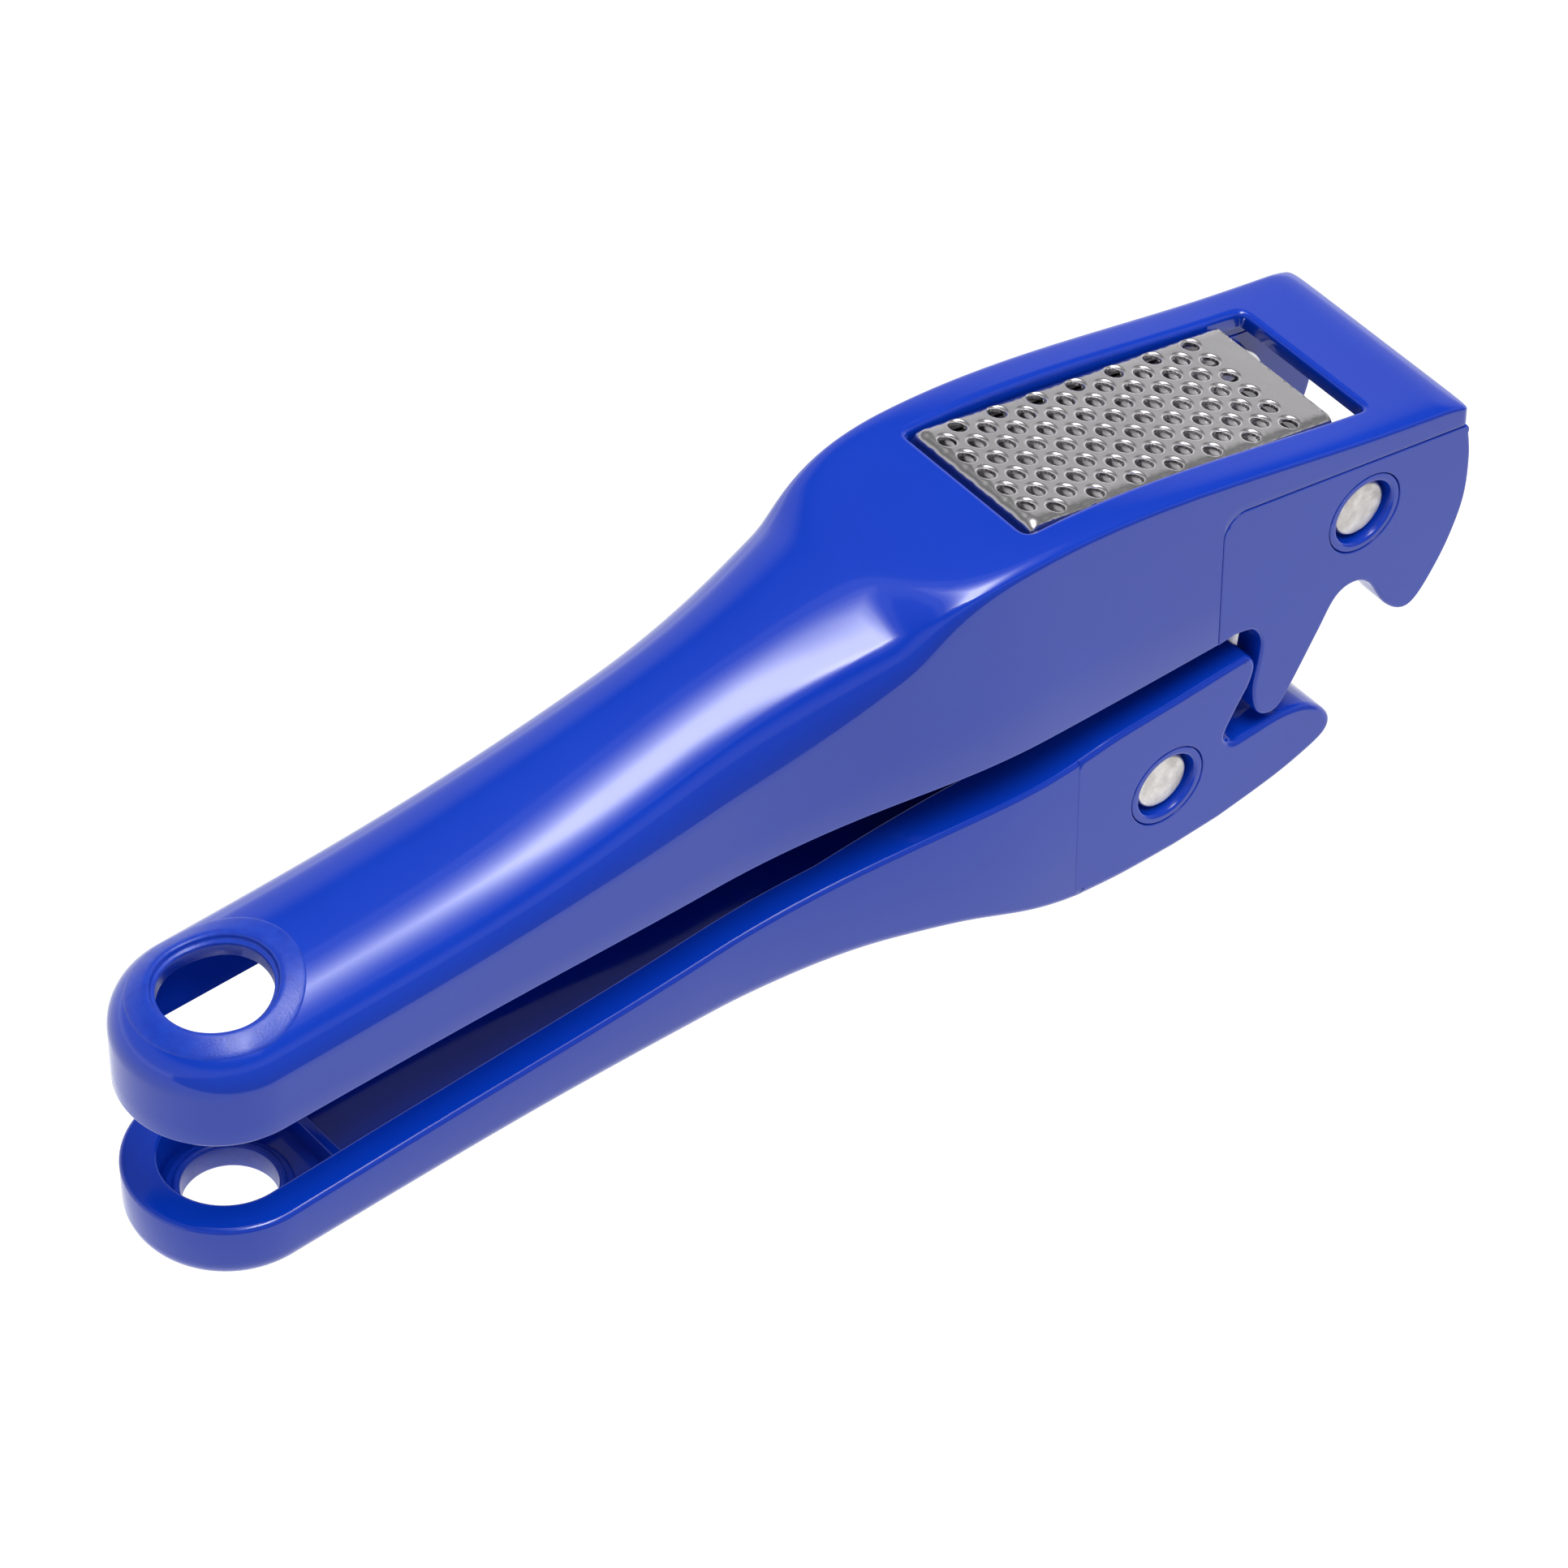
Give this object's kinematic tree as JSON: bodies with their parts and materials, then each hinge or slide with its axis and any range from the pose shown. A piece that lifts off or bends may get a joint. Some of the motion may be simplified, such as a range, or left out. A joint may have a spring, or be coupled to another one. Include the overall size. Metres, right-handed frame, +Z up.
{
  "type": "garlic press",
  "caption": "Geared lever garlic press: two long hollow handles with toothed heads, a plunger arm on two pins and a perforated steel hopper set in a head window.",
  "frame": {"origin": "middle of the footprint, on the surface the closed press stands on", "axes": "+X along the handles toward the head, +Y across the press, +Z up"},
  "size_m": [0.198, 0.0344, 0.0633],
  "materials": {
    "blue_gloss": "gloss",
    "blue_satin": "satin",
    "steel": "bright stamped sheet",
    "pin_steel": "matt turned",
    "dark_nylon": "matt",
    "pale_nylon": "matt"
  },
  "bodies": {
    "upper_handle": {"upper_handle_shell": "blue_gloss", "upper_hang_ring": "blue_satin", "upper_gear_cheek_left": "blue_gloss", "upper_gear_cheek_right": "blue_gloss", "upper_pin_bush_left": "blue_gloss", "upper_pin_bush_right": "blue_gloss", "upper_pin": "pin_steel", "hopper_washer_left": "pale_nylon", "hopper_washer_right": "pale_nylon"},
    "plunger_arm": {"lower_pin": "pin_steel", "plunger_block": "dark_nylon", "plunger_face": "steel", "plunger_rivet_rear": "steel", "plunger_rivet_front": "steel", "link_plate_left": "steel", "link_plate_right": "steel", "upper_spacer_sleeve": "steel", "lower_spacer_sleeve": "steel", "arm_washer_left": "pale_nylon", "arm_washer_right": "pale_nylon"},
    "lower_handle": {"lower_handle_shell": "blue_gloss", "lower_hang_ring": "blue_satin", "lower_gear_frame": "blue_gloss", "lower_pin_bush_left": "blue_gloss", "lower_pin_bush_right": "blue_gloss"},
    "hopper": {"sieve_hopper": "steel"}
  },
  "joints": [
    {"name": "arm_swing", "type": "hinge", "parent": "upper_handle", "child": "plunger_arm", "pos_m": [0.08059, 0, 0.04474], "axis": [0, -1, 0], "range_deg": [0, 32]},
    {"name": "handle_swing", "type": "hinge", "parent": "plunger_arm", "child": "lower_handle", "pos_m": [0.05129, 0, 0.01313], "axis": [0, -1, 0], "range_deg": [0, 46.5]},
    {"name": "hopper_swing", "type": "hinge", "parent": "upper_handle", "child": "hopper", "pos_m": [0.08059, 0, 0.04474], "axis": [0, -1, 0], "range_deg": [0, 16]}
  ],
  "couplings": [
    {"joint": "handle_swing", "follows": "arm_swing", "ratio": 1.45},
    {"joint": "hopper_swing", "follows": "arm_swing", "ratio": 0.5}
  ]
}
